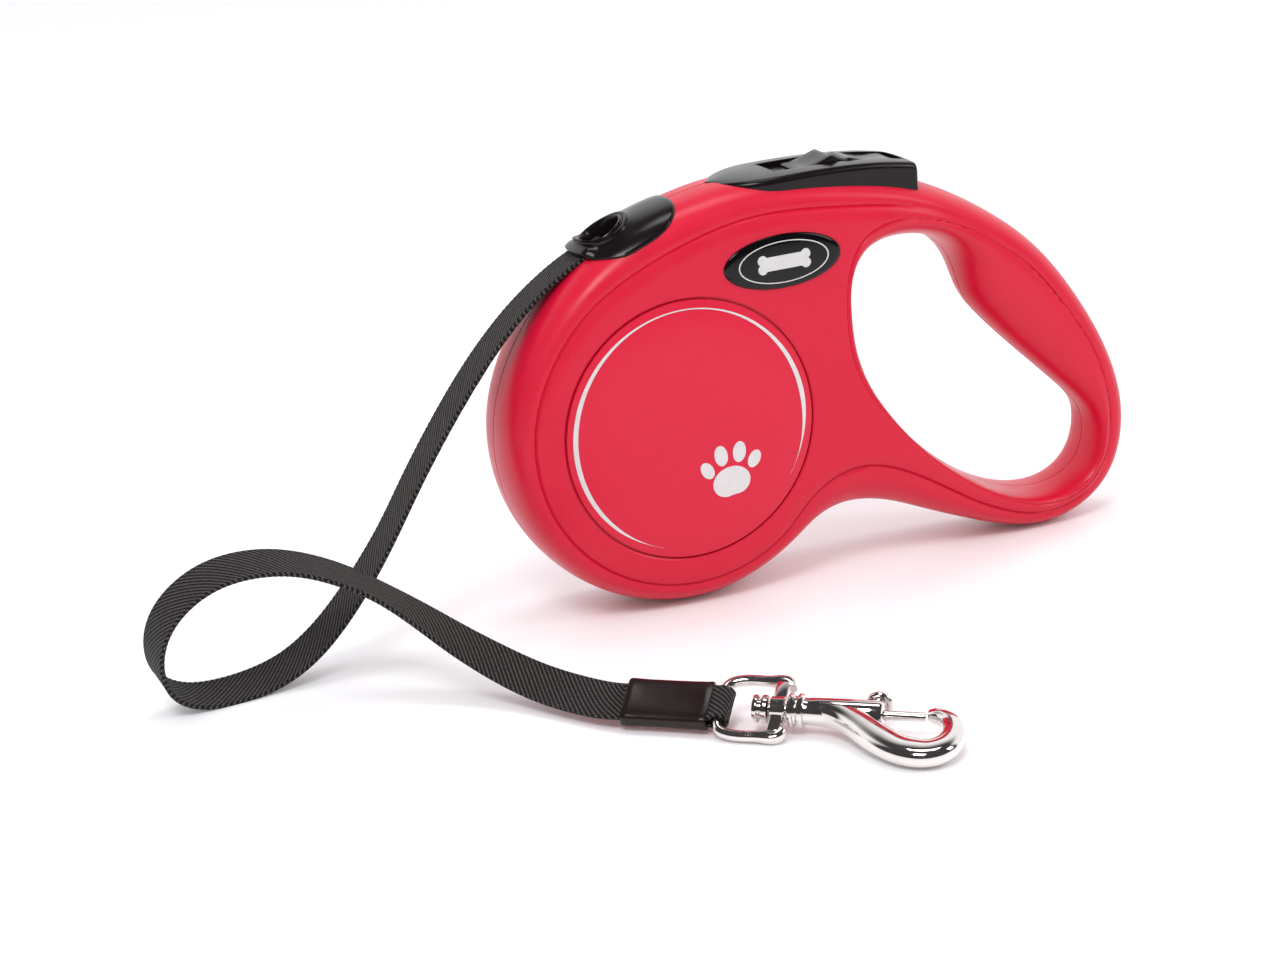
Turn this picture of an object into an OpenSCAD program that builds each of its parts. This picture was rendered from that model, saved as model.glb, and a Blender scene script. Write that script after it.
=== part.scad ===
// Retractable leash: a round reel casing with a closed hand loop, a brake
// button on top, and a flat webbing tape that ends in a swivel snap hook.
// Frame: +X towards the hand loop, -Y out of the front face, +Z up, origin on
// the floor under the middle of the casing.

/* [Casing] */
// Radius of the round part of the casing, and height of the reel axis
reel_case_r = 45; // [44.5:0.1:45.5]
// Thickness of the casing over the reel
case_thickness = 28; // [27:0.5:30]
// How much thinner each half is at the far end of the hand loop
loop_taper = 5; // [3:0.5:6]
// Depth of the crease line below the flat face
crease_depth = 1; // [0.6:0.1:1.4]

/* [Reel] */
// Radius of the chamber in which the reel turns
chamber_r = 41; // [40.5:0.1:41.5]
// Radius over the tips of the ratchet teeth
ratchet_r = 39.2; // [38.5:0.1:39.5]
// Number of ratchet teeth on each flange
ratchet_teeth = 24; // [24:12:36]
// Outer radius of the hub that the tape is wound on
hub_r = 17; // [16.5:0.5:18]
// Outer radius of the wound tape
roll_r = 34.5; // [33:0.5:34.5]
// Radius of the fixed axle
axle_r = 3; // [2.8:0.1:3.2]

/* [Badges] */
// Radius of the round label in the groove on each face
label_r = 31.6; // [31:0.1:31.8]
// Half length of the oval badge
badge_a = 15.3; // [14:0.1:16]
// Half height of the oval badge
badge_b = 6.6; // [6:0.1:7]

/* [Brake] */
// Travel of the brake button
brake_travel = 3; // [2.6:0.1:3]
// Length of the thumb button
button_len = 15; // [14:0.5:15]
// Width of the thumb button
button_w = 10.4; // [10:0.1:10.6]

/* [Tape] */
// Width of the tape
tape_w = 10; // [9:0.5:10]
// Thickness of the tape
tape_t = 1.1; // [0.8:0.1:1.2]
// Length of the sleeve over the sewn end
sleeve_len = 19.1; // [18.5:0.1:19.5]

/* [Clasp] */
// Radius of the bar and sides of the swivel frame
frame_wire_r = 1.25; // [1.15:0.05:1.35]
// Half width of the swivel frame, to the middle of its sides
frame_half_w = 7.6; // [7.4:0.1:7.8]
// Radius of the hook's shank
shank_r = 3.1; // [2.9:0.1:3.2]
// Radius of the sliding bolt
bolt_r = 1.05; // [0.95:0.05:1.1]

/* [Hidden] */
$fn = 64;

RED = [0.86, 0.09, 0.22];
BLACK = [0.06, 0.06, 0.07];
STEEL = [0.75, 0.75, 0.77];
WEBBING = [0.17, 0.15, 0.15];

// ---- Casing outlines, in X and Z from the reel axis -------------------------

reel_x = -39.65;
half_t = case_thickness / 2;
rim_power = 2.3;        // squareness of the rim's cross-section
case_steps = 3;         // outline samples between two points
rim_angles = [0, 15, 30, 45, 60, 75, 90];
face_inset = 4;         // width of the slope between the crease and the flat face
reel_rim = 5.8;         // width of the rim round the reel

// Outside edge at the parting plane, with the width of the rim at each point
OUTLINE = concat(
    [for (a = [145:20:305]) [reel_case_r * cos(a), reel_case_r * sin(a), reel_rim]],
    [
        [34.5, -31.2, 8.5], [44, -29, 11.5], [55, -30.7, 9.3], [66, -35.2, 7.5], [77, -39.5, 5.5],
        [88, -43.3, 4.6], [98.5, -45, 4.2], [109, -43, 4], [117.5, -37.6, 4.6], [122.6, -29.5, 5.4],
        [124.3, -19.5, 6], [122.8, -9, 6], [118.6, 1.8, 6], [112.8, 12, 6], [105.5, 22.3, 6],
        [97, 31.3, 6], [87, 38.8, 5.8], [76, 45.3, 5.5], [65, 49.9, 5.4], [54, 52.8, 6],
        [42, 54.9, 6.8], [29, 56.3, 7.2], [16, 56, 7.5], [4, 53.5, 7.6], [-7.5, 50, 8],
        [-17.5, 45, 7.6], [-27.5, 37.2, 6.4]
    ]);

// Inside of the hand loop: X, Z at the parting plane, then X, Z at the face
HAND_HOLE = [
    [45.6, 21, 42.6, 20.9], [46.3, 13, 43.2, 12.5], [49.2, 3.3, 46, 3.4], [54.5, -6, 51.8, -5.4],
    [61.5, -14.5, 58.9, -14], [70, -22, 67.6, -22.2], [79.5, -28.7, 77.4, -29.4],
    [89, -33.6, 88, -35], [98.5, -35.6, 98, -38.2], [107, -34.2, 108, -37], [112.8, -29.3, 115.2, -31],
    [114.4, -21.5, 118, -22], [112.3, -15.2, 117.5, -12.5], [106.3, -8.9, 115, -3], [99.5, -2.4, 109.5, 7],
    [92.5, 4.3, 103, 15.7], [86, 11, 96.8, 22.8], [81.3, 16.8, 91, 28], [79, 22.5, 86, 31.6],
    [76.8, 28.8, 80.8, 34.9], [72, 33.9, 75, 38], [65.5, 36.3, 68, 40.8], [58.5, 36.8, 60, 42.3],
    [52, 35.5, 52.5, 41.6], [47.5, 32, 46.3, 37.7], [45.6, 27, 43.2, 30]
];

outline_centre = [35, 0];   // every outline point is in sight of it
hole_centre = [75, 0];      // every hand hole point is in sight of it

function smooth(t) = let (u = min(max(t, 0), 1)) u * u * (3 - 2 * u);
function half_depth(x) = half_t - loop_taper * smooth((x - 50) / 68);
function bspline(a, b, c, d, t) =
    (pow(1 - t, 3) * a + (3 * pow(t, 3) - 6 * t * t + 4) * b
    + (-3 * pow(t, 3) + 3 * t * t + 3 * t + 1) * c + pow(t, 3) * d) / 6;
// A smooth closed curve that passes through the points
function closed_curve(p, steps) = let (
        n = len(p),
        q = [for (i = [0:n - 1]) p[i] - (p[(i + n - 1) % n] - 2 * p[i] + p[(i + 1) % n]) / 6])
    [for (i = [0:n - 1]) for (s = [0:steps - 1])
        bspline(q[(i + n - 1) % n], q[i], q[(i + 1) % n], q[(i + 2) % n], s / steps)];
// A smooth open curve through the points, end to end
function open_curve(p, steps) = let (
        n = len(p),
        q = concat([2 * p[0] - p[1]],
            [for (i = [0:n - 1]) i == 0 || i == n - 1 ? p[i] : p[i] - (p[i - 1] - 2 * p[i] + p[i + 1]) / 6],
            [2 * p[n - 1] - p[n - 2]]))
    concat([for (i = [0:n - 2]) for (s = [0:steps - 1])
        bspline(q[i], q[i + 1], q[i + 2], q[i + 3], s / steps)], [p[n - 1]]);

outline = closed_curve(OUTLINE, case_steps);
hand_hole = closed_curve(HAND_HOLE, case_steps);
inward = let (n = len(outline)) [for (i = [0:n - 1])
    let (a = outline[(i + n - 1) % n], b = outline[(i + 1) % n], d = [b.x - a.x, b.y - a.y])
    [-d.y, d.x] / norm(d)];

// One ring of the casing: inset as a share of the rim plus a fixed width, and
// depth as a share of the half thickness
function case_ring(share, extra, depth) = [for (i = [0:len(outline) - 1])
    let (o = outline[i], s = o.z * share + extra)
    [o.x + inward[i].x * s, -depth * half_depth(o.x), o.y + inward[i].y * s]];
function rim_ring(a) = let (across = pow(sin(a), 2 / rim_power), along = pow(cos(a), 2 / rim_power))
    case_ring(1 - across, 0, along * (1 - crease_depth / half_t));
function hole_ring(share, depth, extra) = [for (p = hand_hole)
    [p[2] + (p[0] - p[2]) * share, -depth * half_depth(p[0]) - extra, p[3] + (p[1] - p[3]) * share]];

// ---- Helpers ---------------------------------------------------------------

function unit(v) = v / norm(v);

// Skin over rings of equal length, closed by a fan round a point at each end
module skin(rings, first, last) {
    m = len(rings[0]);
    n = len(rings);
    points = concat([for (r = rings) for (p = r) p], [first, last]);
    polyhedron(points, concat(
        [for (j = [0:m - 1]) [n * m, (j + 1) % m, j]],
        [for (j = [0:m - 1]) [n * m + 1, (n - 1) * m + j, (n - 1) * m + (j + 1) % m]],
        [for (i = [0:n - 2]) for (j = [0:m - 1]) [i * m + j, i * m + (j + 1) % m, (i + 1) * m + j]],
        [for (i = [0:n - 2]) for (j = [0:m - 1])
            [i * m + (j + 1) % m, (i + 1) * m + (j + 1) % m, (i + 1) * m + j]]));
}

// Sweep a section along a path; each ring is turned so that its first axis
// keeps to the given side direction
module sweep(path, sides, sections) {
    n = len(path);
    rings = [for (i = [0:n - 1])
        let (t = unit(path[min(i + 1, n - 1)] - path[max(i - 1, 0)]),
             w = unit(sides[i] - (sides[i] * t) * t),
             v = cross(w, t))
        [for (s = sections[i]) path[i] + s.x * w + s.y * v]];
    skin(rings, path[0], path[n - 1]);
}

function oval(a, b, sides) = [for (j = [0:sides - 1]) [a * cos(360 * j / sides), b * sin(360 * j / sides)]];

module at_reel() {
    translate([reel_x, 0, reel_case_r]) children();
}
// A flat shape drawn in X and Z, between two values of Y
module slab(y0, y1) {
    translate([0, y1, 0]) rotate([90, 0, 0]) linear_extrude(y1 - y0) children();
}
module bar_y(r, y0, y1) {
    translate([0, y0, 0]) rotate([-90, 0, 0]) cylinder(r = r, h = y1 - y0);
}
module bar_x(r, x0, x1) {
    translate([x0, 0, 0]) rotate([0, 90, 0]) cylinder(r = r, h = x1 - x0);
}
module rear() {
    mirror([0, 1, 0]) children();
}

// ---- Casing ----------------------------------------------------------------

module case_half() {
    skin(concat([case_ring(1, face_inset, 1)], [for (a = rim_angles) rim_ring(a)]),
        [outline_centre.x, -half_t, outline_centre.y], [outline_centre.x, 0, outline_centre.y]);
}
module case_solid() {
    case_half();
    rear() case_half();
}
module hand_hole_half() {
    skin(concat([hole_ring(0, 1, 6), hole_ring(0, 1, 0.3)],
            [for (a = [15:15:90]) hole_ring(pow(sin(a), 0.9), pow(cos(a), 0.9), 0)],
            [hole_ring(1, 0, -1)]),
        [hole_centre.x, -half_t - 6, hole_centre.y], [hole_centre.x, 1, hole_centre.y]);
}

chamber_y = 11.5;       // half width of the reel chamber
bay_y = 8.5;            // half width of the brake bay
label_depth = 1;
label_groove_r = 32;
badge_depth = 0.8;
badge_at = [25.8, 37.3];
badge_tilt = 1.5;
screw_at = [[43.5, -17], [76, -34.2], [119, -25], [93, 21.5], [69, 43.6]];
screw_r = 1.25;
screw_head_r = 2.4;
screw_tip_y = -5;
screw_head_y = 5;

module brake_bay_shape() {
    polygon([[20, 28], [26, 23], [33, 25], [33, 41], [63.2, 41], [63.2, 52], [20, 55]]);
}
module lead_shape() {
    polygon([[-30, 35], [-21.9, 41.4], [-13, 40.8], [10, 33], [20, 38], [-2, 44], [-8.6, 49], [-9.5, 57],
        [-30, 57]]);
}
module oval_shape() {
    translate(badge_at) rotate(badge_tilt) polygon(oval(badge_a, badge_b, 60));
}
module screw_holes() {
    for (p = screw_at) translate([p.x, 0, p.y]) {
        bar_y(screw_r + 0.02, screw_tip_y - 0.5, 0.01);
        bar_y(screw_r + 0.25, 0, screw_head_y + 0.01);
        bar_y(screw_head_r + 0.3, screw_head_y, half_t + 5);
    }
}

// Half of the casing with everything that both halves have
module shell_half() {
    difference() {
        case_half();
        hand_hole_half();
        bar_y(chamber_r, -chamber_y, 1);
        bar_y(axle_r + 0.02, -chamber_y - 1, 0);
        bar_y(label_groove_r, -half_t - 1, -half_t + label_depth);
        slab(-half_t - 1, -half_t + badge_depth) oval_shape();
        slab(-bay_y, 1) brake_bay_shape();
        slab(-mouth_half_w, 1) lead_shape();
        guide_block(0.1);
        bezel_block(0.1);
    }
}
module front_shell() {
    color(RED) at_reel() difference() {
        shell_half();
        screw_holes();
    }
}
module rear_shell() {
    color(RED) at_reel() difference() {
        rear() shell_half();
        screw_holes();
    }
}
module label_disc() {
    bar_y(label_r, -half_t, -half_t + label_depth);
}
module front_label() {
    color(RED) at_reel() label_disc();
}
module rear_label() {
    color(RED) at_reel() rear() label_disc();
}
module badge() {
    slab(-half_t - badge_depth, -half_t + badge_depth)
        translate(badge_at) rotate(badge_tilt) polygon(oval(badge_a - 0.1, badge_b - 0.1, 60));
}
module front_badge() {
    color(BLACK) at_reel() badge();
}
module rear_badge() {
    color(BLACK) at_reel() rear() badge();
}
module housing_screws() {
    color(STEEL) at_reel() for (p = screw_at) translate([p.x, 0, p.y]) {
        bar_y(screw_r, screw_tip_y, screw_head_y);
        difference() {
            bar_y(screw_head_r, screw_head_y, screw_head_y + 1.8);
            translate([-0.4, screw_head_y + 1, -1.6]) cube([0.8, 2, 3.2]);
            translate([-1.6, screw_head_y + 1, -0.4]) cube([3.2, 2, 0.8]);
        }
    }
}

// ---- Tape guide and brake bezel, both let into the top edge -----------------

guide_half_w = 12.3;
bezel_half_w = 11.2;
window_x0 = 46.9;           // the opening over the button, in X
window_x1 = 63;
window_half_w = 5.6;
slider_x0 = 28.6;           // front end of the slider's track
slider_floor = 55.9;
mouth_half_w = tape_w / 2 + 0.8;

module guide_block(gap) {
    slab(-guide_half_w - gap, guide_half_w + gap) polygon([
        [-22.2 - gap, 38.8 - gap], [-19, 40.4 - gap], [-14, 43 - gap], [-8, 46 - gap], [-3, 48.4 - gap],
        [0.4 + gap, 49.9 - gap], [2.4 + gap, 52], [3 + gap, 58], [-10, 58], [-24 - gap, 51]]);
}
module bezel_side(gap) {
    polygon([[13 - gap, 53.2 - gap], [21, 52.6 - gap], [30, 52.2 - gap], [40, 50.9 - gap], [50, 49.2 - gap],
        [64.8 + gap, 46.4 - gap], [64.8 + gap, 54.4], [64.2, 55.4], [58, 56.3], [52, 56.9], [44, 57.3],
        [36, 57.3], [28, 57], [20, 56.6], [13 - gap, 55.6]]);
}
module bezel_plan(gap) {
    polygon([for (s = [-1, 1]) for (p = s < 0
        ? [[13, 1.5], [15, 5], [19, 8.6], [24, 10.8], [29, bezel_half_w], [36, 11], [63.2, 10.2], [64.8, 9]]
        : [[64.8, 9], [63.2, 10.2], [36, 11], [29, bezel_half_w], [24, 10.8], [19, 8.6], [15, 5], [13, 1.5]])
        [p.x + (p.x > 40 ? gap : -gap), s * (p.y + gap)]]);
}
module bezel_block(gap) {
    intersection() {
        slab(-bezel_half_w - 1, bezel_half_w + 1) bezel_side(gap);
        translate([0, 0, 40]) linear_extrude(25) bezel_plan(gap);
    }
}
module tape_guide() {
    color(BLACK) at_reel() difference() {
        intersection() {
            case_solid();
            guide_block(0);
        }
        slab(-mouth_half_w, mouth_half_w) lead_shape();
    }
}
module button_bezel() {
    color(BLACK) at_reel() difference() {
        bezel_block(0);
        translate([slider_x0, -window_half_w, slider_floor])
            cube([window_x1 - slider_x0, 2 * window_half_w, 20]);
        translate([33.5, -3.3, 40]) cube([12, 6.6, 20]);
        translate([window_x0, -window_half_w, 40]) cube([window_x1 - window_x0, 2 * window_half_w, 20]);
    }
}

// ---- Reel ------------------------------------------------------------------

flange_in = 5.8;        // inner faces of the two flanges
flange_out = 7;
boss_y = 10.8;
boss_r = 5;
hub_wall = 1.8;
running_gap = 0.06;
tooth_depth = 2.8;
tooth_phase = 48.5;     // turns a gap between teeth to the pawl
roll_w = 9.8;

module ratchet_ring() {
    pitch = 360 / ratchet_teeth;
    slab(-flange_out, -flange_in) polygon([for (i = [0:ratchet_teeth - 1])
        for (p = [[0, -tooth_depth], [0.06, 0], [0.34, 0], [0.5, -tooth_depth]])
            let (a = tooth_phase + pitch * (i + p.x), r = ratchet_r + p.y) r * [cos(a), sin(a)]]);
}
module flange() {
    difference() {
        union() {
            ratchet_ring();
            bar_y(boss_r, -boss_y, -flange_in);
        }
        bar_y(axle_r + running_gap, -boss_y - 1, 0);
    }
}
module reel_body() {
    color(BLACK) at_reel() {
        flange();
        difference() {
            bar_y(hub_r, -flange_in, flange_in);
            bar_y(hub_r - hub_wall, -flange_in - 1, flange_in + 1);
        }
    }
}
module reel_cover() {
    color(BLACK) at_reel() rear() flange();
}
module axle() {
    color(STEEL) at_reel() bar_y(axle_r, -chamber_y - 1, chamber_y + 1);
}
module axle_washers() {
    color(STEEL) at_reel() for (side = [0, 1]) mirror([0, side, 0]) difference() {
        bar_y(6.5, -chamber_y + 0.05, -boss_y - 0.15);
        bar_y(axle_r + 0.1, -chamber_y - 1, 0);
    }
}
spring_turns = 9;
spring_t = 0.35;
spring_in_r = 4.4;
spring_out_r = 14.6;
module mainspring() {
    steps = spring_turns * 24;
    function spiral(r_add, i) = let (f = i / steps, r = spring_in_r + (spring_out_r - spring_in_r) * f + r_add)
        r * [cos(360 * spring_turns * f), sin(360 * spring_turns * f)];
    color(STEEL) at_reel() slab(-5, 5) polygon(concat(
        [for (i = [0:steps]) spiral(0, i)], [for (i = [steps:-1:0]) spiral(spring_t, i)]));
}
module wound_tape() {
    color(WEBBING) at_reel() difference() {
        bar_y(roll_r, -roll_w / 2, roll_w / 2);
        bar_y(hub_r + 0.02, -roll_w, roll_w);
    }
}
// The run of tape from the top of the roll to the guide's mouth, where it ends
// square to the free tape
lead_start = [9, 35.2];
module tape_lead() {
    free = open_curve(ROUTE, route_steps);
    lead_end = [free[0].x - reel_x, free[0].z - reel_case_r];
    d = unit(lead_end - lead_start) * tape_t / 2;
    e = unit([free[1].x - free[0].x, free[1].z - free[0].z]) * tape_t / 2;
    color(WEBBING) at_reel() slab(-tape_w / 2, tape_w / 2) polygon([
        lead_start - [-d.y, d.x], lead_end - [-e.y, e.x], lead_end + [-e.y, e.x], lead_start + [-d.y, d.x]]);
}

// ---- Brake -----------------------------------------------------------------

button_x0 = 47.4;
carrier_z = [46.6, 49];
pawl_x = [28, 30.2];
pawl_tip_z = 25.4 + brake_travel;      // clear of the teeth until the button is pressed
module brake_button() {
    color(BLACK) at_reel() slab(-button_w / 2, button_w / 2) polygon([
        [button_x0, carrier_z[1]], [button_x0 + button_len, carrier_z[1]], [button_x0 + button_len, 55],
        [button_x0 + 14, 55.6], [button_x0 + 11, 55.9], [button_x0 + 7.5, 56.1], [button_x0 + 4, 56.9],
        [button_x0 + 1.6, 57.8], [button_x0, 57.4]]);
}
module brake_pawl() {
    color(STEEL) at_reel() {
        slab(-3.5, 3.5) polygon([[pawl_x[0], carrier_z[0]], [60.6, carrier_z[0]], [60.6, carrier_z[1]],
            [pawl_x[0], carrier_z[1]]]);
        slab(-7.6, 7.6) polygon([[pawl_x[0], pawl_tip_z], [pawl_x[1], pawl_tip_z], [pawl_x[1], carrier_z[0]],
            [pawl_x[0], carrier_z[0]]]);
    }
}
coil_at = [54.5, 41.05];
coil_top = 46.55;
coil_r = 2.4;
coil_wire = 0.3;
coil_turns = 4;
module button_spring() {
    steps = coil_turns * 12;
    path = [for (i = [0:steps]) let (a = 360 * coil_turns * i / steps)
        [coil_at.x + coil_r * cos(a), coil_r * sin(a),
            coil_at.y + coil_wire + (coil_top - coil_at.y - 2 * coil_wire) * i / steps]];
    sides = [for (i = [0:steps]) let (a = 360 * coil_turns * i / steps) [cos(a), sin(a), 0]];
    color(STEEL) at_reel() sweep(path, sides, [for (p = path) oval(coil_wire, coil_wire, 8)]);
}
slider_half_w = 5.2;
module lock_slider() {
    color(BLACK) at_reel() {
        slab(-slider_half_w, slider_half_w) polygon([[34.6, slider_floor + 0.05], [46.5, slider_floor + 0.05],
            [46.4, 56.6], [45, 58.7], [44, 58.8], [41, 57.7], [37.4, 56.6], [34.6, 56.3]]);
        slab(-3, 3) polygon([[37.8, 52.2], [45.2, 52.2], [45.2, 56.1], [37.8, 56.1]]);
    }
}

// ---- Free tape -------------------------------------------------------------

// Where the middle of the tape runs, and which way its width lies there
ROUTE = [
    [-53, 0, 90], [-60, 0, 88], [-70, 0, 82], [-80, -0.5, 73.8], [-90, -1, 62.8], [-99, -2, 51.4],
    [-106.5, -3, 41], [-113, -4, 31.3], [-119.5, -5, 22.9], [-126, -6, 15.6], [-133.5, -7, 8.8],
    [-141.5, -8, 4.2], [-149.5, -9, 2.2], [-157, -10, 1.8], [-163.8, -11, 2.7], [-169.2, -12.2, 5.8],
    [-172, -13.4, 10.8], [-172.4, -14.5, 17], [-170, -15.4, 23.6], [-164.5, -16.2, 29.2],
    [-157, -17, 32.8], [-148, -18, 33.7], [-139, -19.2, 32.2], [-130, -21.3, 28.5], [-122, -24.5, 23.7],
    [-115, -29, 18.6], [-108.5, -34.8, 13.4], [-102, -41.8, 9], [-95.2, -51, 5.7], [-89.3, -60.5, 4.8],
    [-85, -67.1, 4.8], [-81.7, -70.4, 5]
];
LEAN = concat([for (i = [0:2]) [0, 1, 0]], [[-0.03, 1, 0.03]], [for (i = [4:7]) [-0.07, 1, 0.06]],
    [[-0.1, 0.98, 0.12], [-0.1, 0.96, 0.19], [-0.1, 0.95, 0.25], [-0.12, 0.95, 0.27]],
    [for (i = [12:22]) [-0.16, 0.93, 0.3]],
    [[0, 0.93, 0.27], [0.1, 0.93, 0.22], [0.26, 0.87, 0.25], [0.4, 0.8, 0.32], [0.5, 0.75, 0.4],
        [0.55, 0.72, 0.45], [0.56, 0.7, 0.454], [0.552, 0.7, 0.454], [0.552, 0.7, 0.454]]);
route_steps = 2;
module leash_tape() {
    path = open_curve(ROUTE, route_steps);
    sides = open_curve(LEAN, route_steps);
    a = tape_w / 2;
    b = tape_t / 2;
    edge = [[a, b - 0.2], [a - 0.3, b], [0.3 - a, b], [-a, b - 0.2], [-a, 0.2 - b], [0.3 - a, -b], [a - 0.3, -b],
        [a, 0.2 - b]];
    color(WEBBING) sweep(path, sides, [for (p = path) edge]);
}

// ---- Sewn end, sleeve and clasp, drawn along +X from the sleeve's start -------

clasp_at = ROUTE[len(ROUTE) - 1];
clasp_heading = -38.3;
clasp_lean = 27;
hook_turn = -18;        // how far the hook has swivelled in its frame
bar_at = 21.4;          // the frame's bar, which the tape's loop goes round
frame_end = 34.3;
rivet = [28.5, 32];
collar = [36.4, 39.9];
throat_x = 57;
module at_clasp() {
    translate(clasp_at) rotate([0, 0, clasp_heading]) rotate([clasp_lean, 0, 0]) children();
}
module at_hook() {
    at_clasp() rotate([hook_turn, 0, 0]) children();
}
module stadium(half_w, half_h) {
    translate([-half_w + half_h, -half_h]) square([2 * (half_w - half_h), 2 * half_h]);
    for (s = [-1, 1]) translate([s * (half_w - half_h), 0]) circle(r = half_h);
}
module tape_seam() {
    color(WEBBING) at_clasp() translate([0.3, -tape_w / 2, -tape_t])
        cube([sleeve_len - 0.3, tape_w, 2 * tape_t]);
}
module tape_sleeve() {
    color(BLACK) at_clasp() rotate([90, 0, 90]) linear_extrude(sleeve_len) difference() {
        stadium(tape_w / 2 + 0.9, tape_t + 0.9);
        square([tape_w + 0.1, 2 * tape_t + 0.1], center = true);
    }
}
loop_in_r = frame_wire_r + 0.1;
loop_half_w = 4.2;        // the tape is gathered where it goes round the bar
module tape_loop() {
    out_r = loop_in_r + tape_t;
    color(WEBBING) at_clasp() slab(-loop_half_w, loop_half_w) difference() {
        union() {
            translate([bar_at, 0]) circle(r = out_r);
            polygon([[sleeve_len, -tape_t], [bar_at, -out_r], [bar_at, out_r], [sleeve_len, tape_t]]);
        }
        translate([bar_at, 0]) circle(r = loop_in_r);
        translate([sleeve_len - 5, -5]) square([5, 10]);
    }
}
FRAME = [
    [33.8, frame_half_w], [31.4, frame_half_w], [28.8, frame_half_w + 0.1], [26.2, frame_half_w + 0.1],
    [23.9, frame_half_w - 0.3], [22.2, frame_half_w - 1.2], [21.4, 4.9], [21.4, 3.4], [21.4, 1.7], [21.4, 0]
];
module swivel_frame() {
    half = open_curve(FRAME, 3);
    n = len(half);
    path = [for (i = [0:2 * n - 2]) let (p = half[i < n ? i : 2 * n - 2 - i]) [p.x, i < n ? p.y : -p.y, 0]];
    color(STEEL) at_clasp() difference() {
        union() {
            sweep(path, [for (p = path) [0, 0, 1]], [for (p = path) oval(frame_wire_r, frame_wire_r, 12)]);
            translate([frame_end - 1.8, -frame_half_w - 0.4, -1.4]) cube([3.2, 2 * frame_half_w + 0.8, 2.8]);
            bar_x(2.9, frame_end - 1.9, frame_end + 1.5);
        }
        bar_x(1.36, frame_end - 5, frame_end + 5);
    }
}
// The hook's curved arm: X, Y of its middle, then its half width and half depth
ARM = [
    [45, -0.2, 2.9, 2.8], [48.9, -1.8, 3.1, 2.7], [52.3, -4.4, 3.3, 2.6], [55.2, -7.2, 3.4, 2.5],
    [58.3, -9.9, 3.5, 2.4], [61.6, -12.1, 3.6, 2.3], [65, -13.4, 3.7, 2.3], [68.3, -13.5, 3.6, 2.2],
    [70.9, -12, 3.2, 2.2], [72.4, -9.2, 2.8, 2.1], [72.7, -5.6, 2.4, 2], [71.5, -2, 2.1, 1.9],
    [69.3, 0.1, 1.8, 1.8], [67, 0.8, 1.6, 1.6]
];
slot_x = [46.2, 56];
bore_x = 41.2;
module hook_arm() {
    curve = open_curve(ARM, 3);
    path = [for (p = curve) [p[0], p[1], 0]];
    sweep(path, [for (p = path) [0, 0, 1]], [for (p = curve) oval(p[3], p[2], 12)]);
}
module snap_hook() {
    color(STEEL) at_hook() difference() {
        union() {
            bar_x(3.1, rivet[0], rivet[1]);
            bar_x(1.3, rivet[1] - 0.5, collar[0] + 1);
            bar_x(3.8, collar[0], collar[1]);
            bar_x(shank_r, collar[1] - 0.5, throat_x);
            hook_arm();
        }
        bar_x(bolt_r + 0.08, bore_x, bolt_x[1] + 0.3);
        translate([slot_x[0], 0, -0.8]) cube([slot_x[1] - slot_x[0], 5, 1.6]);
    }
}
bolt_x = [51.4, 65.9];
knob_x = 55.2;
module snap_bolt() {
    color(STEEL) at_hook() {
        bar_x(bolt_r, bolt_x[0], bolt_x[1]);
        translate([knob_x, 0, 0]) {
            bar_y(0.6, 0, 3.8);
            bar_y(3, 3.5, 5);
        }
    }
}
bolt_coil_turns = 7;
module bolt_spring() {
    steps = bolt_coil_turns * 10;
    wire = 0.16;
    r = bolt_r - wire - 0.02;
    x0 = bore_x + wire + 0.05;
    x1 = bolt_x[0] - wire - 0.05;
    path = [for (i = [0:steps]) let (a = 360 * bolt_coil_turns * i / steps)
        [x0 + (x1 - x0) * i / steps, r * cos(a), r * sin(a)]];
    sides = [for (i = [0:steps]) let (a = 360 * bolt_coil_turns * i / steps) [0, cos(a), sin(a)]];
    color(STEEL) at_hook() sweep(path, sides, [for (p = path) oval(wire, wire, 8)]);
}

front_shell();
rear_shell();
front_label();
rear_label();
front_badge();
rear_badge();
tape_guide();
button_bezel();
housing_screws();
axle();
axle_washers();
reel_body();
reel_cover();
mainspring();
wound_tape();
tape_lead();
brake_button();
brake_pawl();
button_spring();
lock_slider();
leash_tape();
tape_seam();
tape_sleeve();
tape_loop();
swivel_frame();
snap_hook();
snap_bolt();
bolt_spring();
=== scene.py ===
import math

import bmesh
import bpy
import numpy as np
from mathutils import Matrix, Vector
from mathutils.geometry import delaunay_2d_cdt


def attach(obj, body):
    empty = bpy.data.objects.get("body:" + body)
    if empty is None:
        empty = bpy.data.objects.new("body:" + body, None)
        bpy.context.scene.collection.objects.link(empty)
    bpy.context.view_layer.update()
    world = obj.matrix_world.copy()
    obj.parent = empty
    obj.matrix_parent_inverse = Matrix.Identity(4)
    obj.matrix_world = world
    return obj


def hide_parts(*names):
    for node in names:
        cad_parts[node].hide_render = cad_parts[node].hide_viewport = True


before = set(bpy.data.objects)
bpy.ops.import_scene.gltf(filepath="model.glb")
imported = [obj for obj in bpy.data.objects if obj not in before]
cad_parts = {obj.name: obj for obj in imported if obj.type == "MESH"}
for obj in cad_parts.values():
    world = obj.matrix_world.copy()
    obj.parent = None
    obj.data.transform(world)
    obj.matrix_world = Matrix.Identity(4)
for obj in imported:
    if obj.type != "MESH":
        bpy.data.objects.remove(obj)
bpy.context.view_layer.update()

# Shapes are in mm, and make() turns them to metres. Most are drawn about the reel's
# axis: +X to the hand loop, -Y out of the front face, +Z up.
MM = 0.001
REEL = Vector((-39.65, 0, 45))

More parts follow.
